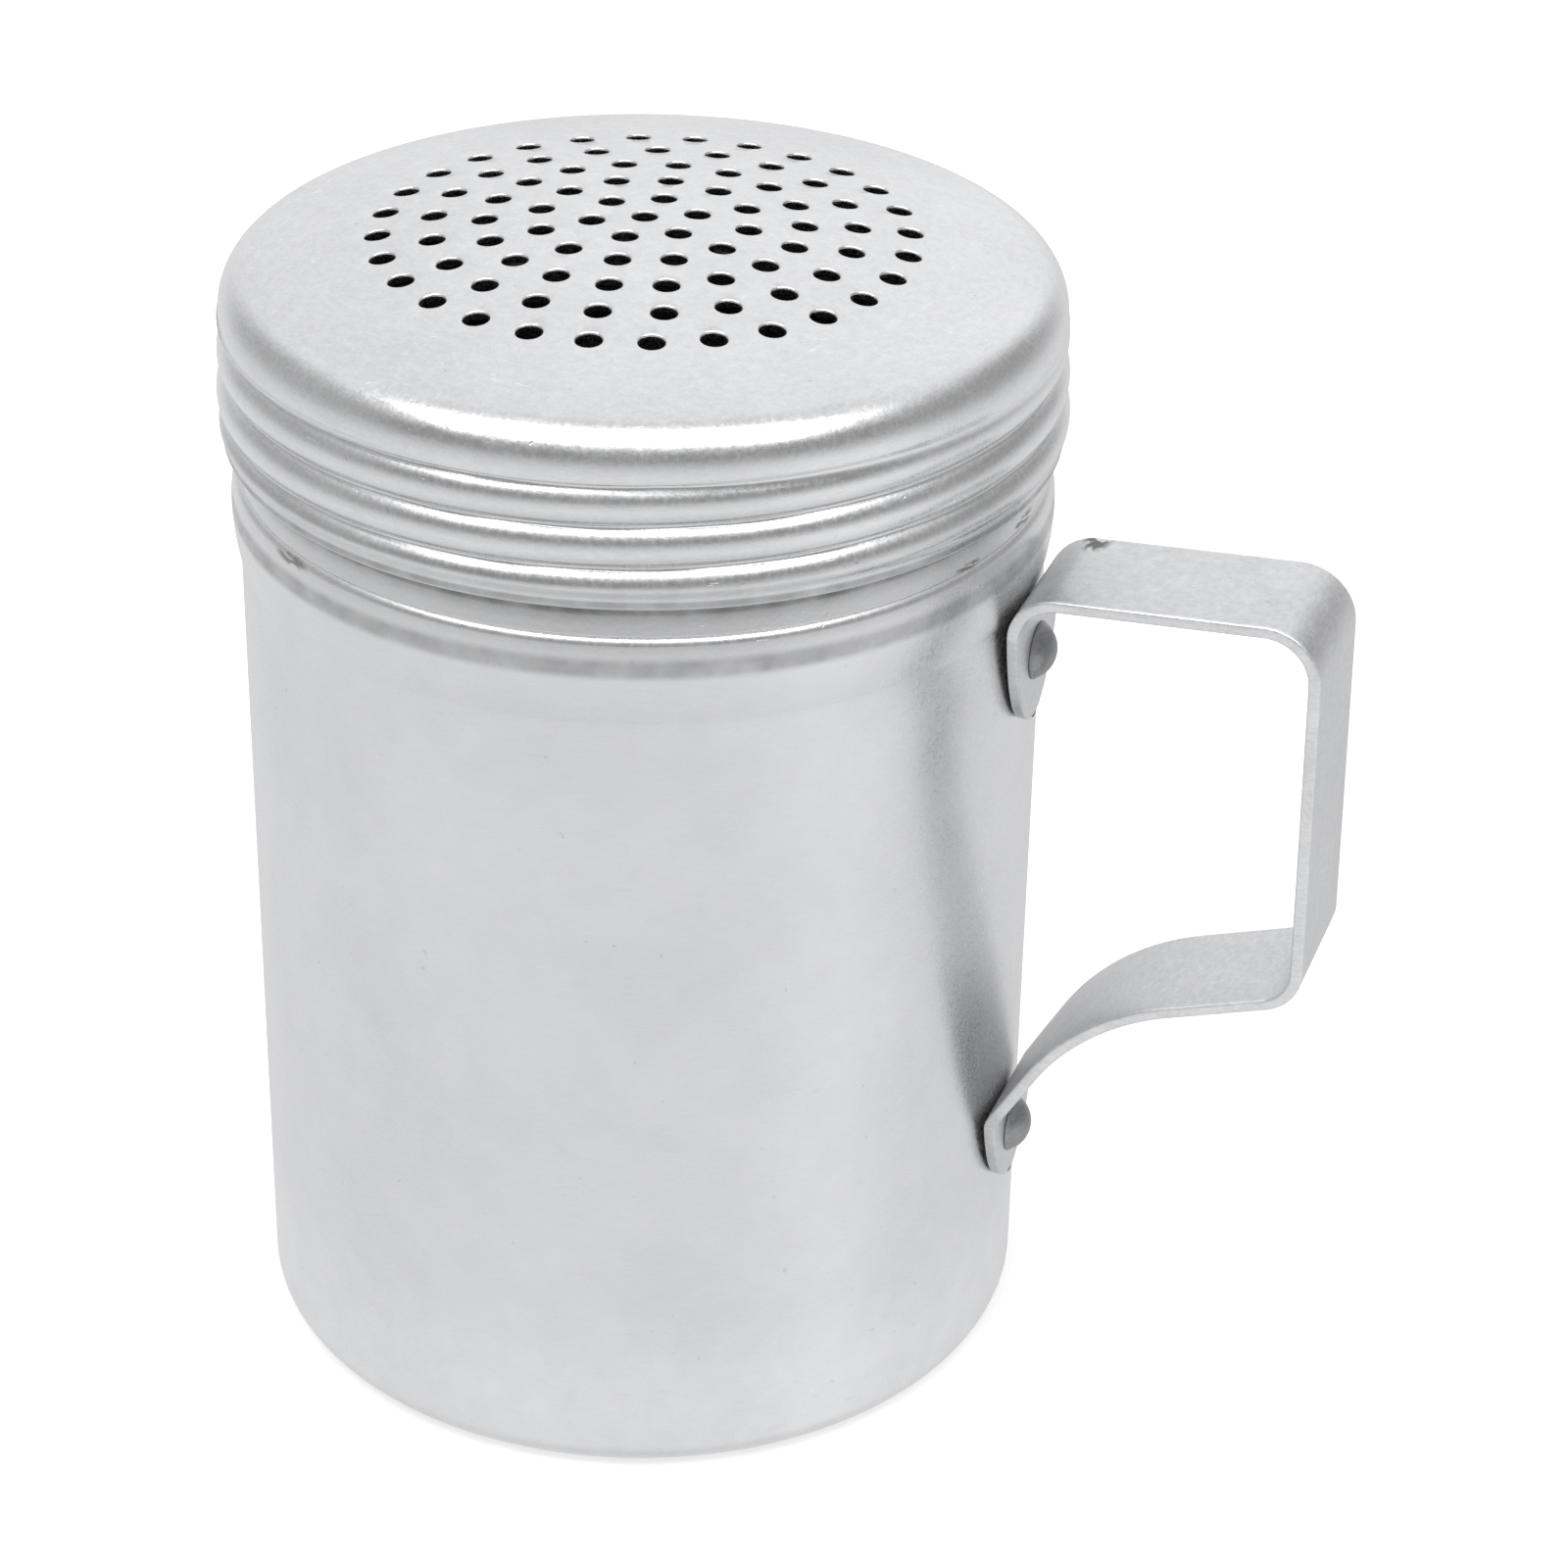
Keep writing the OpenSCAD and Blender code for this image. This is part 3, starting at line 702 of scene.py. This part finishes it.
band_r = skirt_line(skirt_low, 0)
band_in_r = band_r - lid_wall
skirt_rows = steps(skirt_high - 0.15, skirt_low - 0.1, 50)
lid_rows = smooth_rows(dome_line(dome_r, [0] + steps(0.06, 1, 16)))
lid_rows += smooth_rows(arc(corner_x, corner_z, corner_r, corner_from, corner_to, 18))
lid_rows += [(skirt_line(z, 0), z, True) for z in skirt_rows]
lid_rows += smooth_rows(arc(band_r - edge_round, lid_low + edge_round, edge_round, 5, -90, 8))
lid_rows += smooth_rows(arc(curl_r, lid_low + curl_round, curl_round, -90, -270, 5))
curl_top = lid_low + 2 * curl_round
lid_rows += smooth_rows([(band_in_r - curl_step, curl_top), (band_in_r, curl_top + curl_step)])
lid_rows += [(skirt_line(z, 1), z, True) for z in reversed(skirt_rows)]
lid_rows += smooth_rows(arc(corner_x, corner_z, corner_r - lid_wall, corner_to, corner_from, 14))
lid_rows += smooth_rows(dome_line(dome_r - lid_wall, steps(1, 0.06, 16) + [0]))
lid = lathe("lid_shell", lid_rows, skirt_thread)

# Painted shade lies along the skirt's lower edge, darkest in a narrow line there, and thins out above it.
skirt_bands = ((83.1, 83.9, 0.25, 0.35), (82.9, 85.6, 0.6, 0.12))
lid_satin = metal("lid_satin", {"Tone": (0.85, 0.855, 0.86, 1), "Roughness": 0.26, "Grain": 0.20,
                                "Clouds": 0.15, "Scratches": 1.3, "Specks": 0.12},
                  bump=0.5, bands=skirt_bands)

# Each ring of holes has its number of holes and the first one's turn in degrees.
hole_r, hole_edge, ring_pitch = 1.05, 0.22, 4.3
punch_top, punch_low, punch_sides = 0.4, -2.0, 32
hole_rings = ((1, 0), (6, 30), (12, 37), (18, 19), (21, 5), (28, 10))


def upright_rings(mesh, profile, sides):
    return [[mesh.verts.new((x * mm, y * mm, z * mm)) for x, y in circle(r, sides)] for r, z in profile]


def punch():
    # The punch leaves a straight hole and draws its upper edge down into a small round. Above
    # the dome it widens, so that it meets the dome in a clean circle.
    profile = [(hole_r + hole_edge * 2.2, punch_top), (hole_r + hole_edge * 1.05, 0.012)]
    for a in (10, 35, 60, 80):
        profile.append((hole_r + hole_edge * (1 - sin(radians(a))), -hole_edge * (1 - cos(radians(a)))))
    profile += [(hole_r, -hole_edge), (hole_r, punch_low)]
    mesh = bmesh.new()
    rings = upright_rings(mesh, profile, punch_sides)
    join_rings(mesh, rings)
    mesh.faces.new(rings[0])
    mesh.faces.new(rings[-1])
    return finish_mesh("punch", mesh)


def sprinkle_holes(tool):
    # Rings of punch marks on the dome, each square to it, cut out of the lid.
    tree = bpy.data.node_groups.new("sprinkle_holes", "GeometryNodeTree")
    tree.interface.new_socket("Lid", in_out="INPUT", socket_type="NodeSocketGeometry")
    for name, size in (("Ring pitch", ring_pitch), ("Dome radius", dome_r), ("Dome centre", dome_z)):
        socket = tree.interface.new_socket(name, in_out="INPUT", socket_type="NodeSocketFloat")
        socket.default_value = size * mm
    tree.interface.new_socket("Punched", in_out="OUTPUT", socket_type="NodeSocketGeometry")
    given = add_node(tree, "NodeGroupInput").outputs

    def added(first, second):
        return add_node(tree, "ShaderNodeVectorMath", {0: first, 1: second}, operation="ADD").outputs[0]

    # Flat rings of points, with the middle hole as a ring that is merged into one point.
    joined = add_node(tree, "GeometryNodeJoinGeometry")
    for i, (count, first) in enumerate(hole_rings):
        reach = calculate(tree, "MULTIPLY", given["Ring pitch"], i)
        ring = add_node(tree, "GeometryNodeMeshCircle", {"Vertices": max(3, count), "Radius": reach})
        spots = add_node(tree, "GeometryNodeTransform",
                         {0: ring.outputs[0], "Rotation": (0, 0, radians(first))})
        if count == 1:
            spots = add_node(tree, "GeometryNodeMergeByDistance", {0: spots.outputs[0]})
        tree.links.new(spots.outputs[0], joined.inputs[0])

    # Each point is lifted onto the dome, and its punch looks away from the dome's centre.
    spot = add_node(tree, "GeometryNodeInputPosition").outputs[0]
    out = add_node(tree, "ShaderNodeVectorMath", {0: spot, 1: spot}, operation="DOT_PRODUCT")
    square = calculate(tree, "MULTIPLY", given["Dome radius"], given["Dome radius"])
    above_centre = calculate(tree, "SQRT", calculate(tree, "SUBTRACT", square, out.outputs["Value"]))
    upward = add_node(tree, "ShaderNodeCombineXYZ", {"Z": above_centre}).outputs[0]
    centre = add_node(tree, "ShaderNodeCombineXYZ", {"Z": given["Dome centre"]}).outputs[0]
    aim = add_node(tree, "FunctionNodeAlignRotationToVector", {"Vector": added(spot, upward)}, axis="Z")
    keep = add_node(tree, "GeometryNodeCaptureAttribute")
    keep.capture_items.new("ROTATION", "aim")
    tree.links.new(joined.outputs[0], keep.inputs["Geometry"])
    tree.links.new(aim.outputs[0], keep.inputs["aim"])
    lifted = add_node(tree, "GeometryNodeSetPosition",
                      {"Geometry": keep.outputs["Geometry"], "Offset": added(upward, centre)})

    shape = add_node(tree, "GeometryNodeObjectInfo", {"Object": tool})
    marks = add_node(tree, "GeometryNodeInstanceOnPoints",
                     {"Points": lifted.outputs[0], "Instance": shape.outputs["Geometry"],
                      "Rotation": keep.outputs["aim"]})
    tools = add_node(tree, "GeometryNodeRealizeInstances", {0: marks.outputs[0]})
    cut = add_node(tree, "GeometryNodeMeshBoolean", {"Mesh 1": given["Lid"], "Mesh 2": tools.outputs[0]},
                   operation="DIFFERENCE", solver="EXACT")
    plain = add_node(tree, "GeometryNodeRealizeInstances", {0: cut.outputs[0]})
    painted = add_node(tree, "GeometryNodeSetMaterial", {"Geometry": plain.outputs[0], "Material": lid_satin})
    add_node(tree, "NodeGroupOutput", {0: painted.outputs[0]})
    return tree


tool = punch()
holes = lid.modifiers.new("holes", "NODES")
holes.node_group = sprinkle_holes(tool)
graph = bpy.context.evaluated_depsgraph_get()
punched = bpy.data.meshes.new_from_object(lid.evaluated_get(graph))
lid.modifiers.clear()
lid.data = punched
lid.data.name = "lid_shell"
bpy.data.objects.remove(tool)
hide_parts("lid")
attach(lid, "lid")

# ---- Hem ----------------------------------------------------------------------------------
# The lid's own sheet folded back inside its lower edge. It rises with the lid and looks
# the same at any turn.

hem_in_r, hem_out_r, hem_low, hem_high, hem_round = 33.4, 33.75, 83.35, 83.85, 0.15
hem_line = []
for r, z, first in ((hem_out_r - hem_round, hem_high - hem_round, 0),
                    (hem_in_r + hem_round, hem_high - hem_round, 90),
                    (hem_in_r + hem_round, hem_low + hem_round, 180),
                    (hem_out_r - hem_round, hem_low + hem_round, 270)):
    hem_line += arc(r, z, hem_round, first, first + 90, 4)
hem_mesh = bmesh.new()
hem_rings = upright_rings(hem_mesh, hem_line, around)
join_rings(hem_mesh, hem_rings + hem_rings[:1])
hem = finish_mesh("hem_ring", hem_mesh)
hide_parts("lid_hem")
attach(hem, "lid_hem")
hem.data.materials.append(lid_satin)
